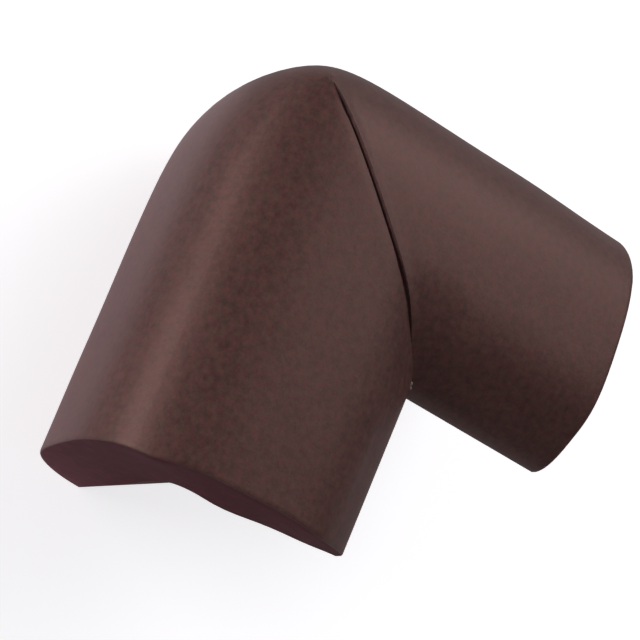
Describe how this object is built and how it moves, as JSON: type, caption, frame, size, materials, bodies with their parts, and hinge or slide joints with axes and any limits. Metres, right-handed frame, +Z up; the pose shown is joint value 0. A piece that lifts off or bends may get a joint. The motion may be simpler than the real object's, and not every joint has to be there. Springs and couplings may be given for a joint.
{
  "type": "furniture corner protector",
  "caption": "Soft brown foam guard that wraps a table or shelf corner: a rounded L-section strip folded and glued at a right angle.",
  "frame": {"origin": "on the fold line of the top plate's flat underside, 11 mm in from both inner wall faces, where it lies on the table top", "axes": "+X along one arm, +Y along the other arm, +Z up out of the table top; the walls hang down the table's two sides"},
  "size_m": [0.055, 0.055, 0.037],
  "materials": {
    "brown foam skin": "matt"
  },
  "bodies": {
    "root": {"corner_guard": "brown foam skin"}
  },
  "joints": []
}
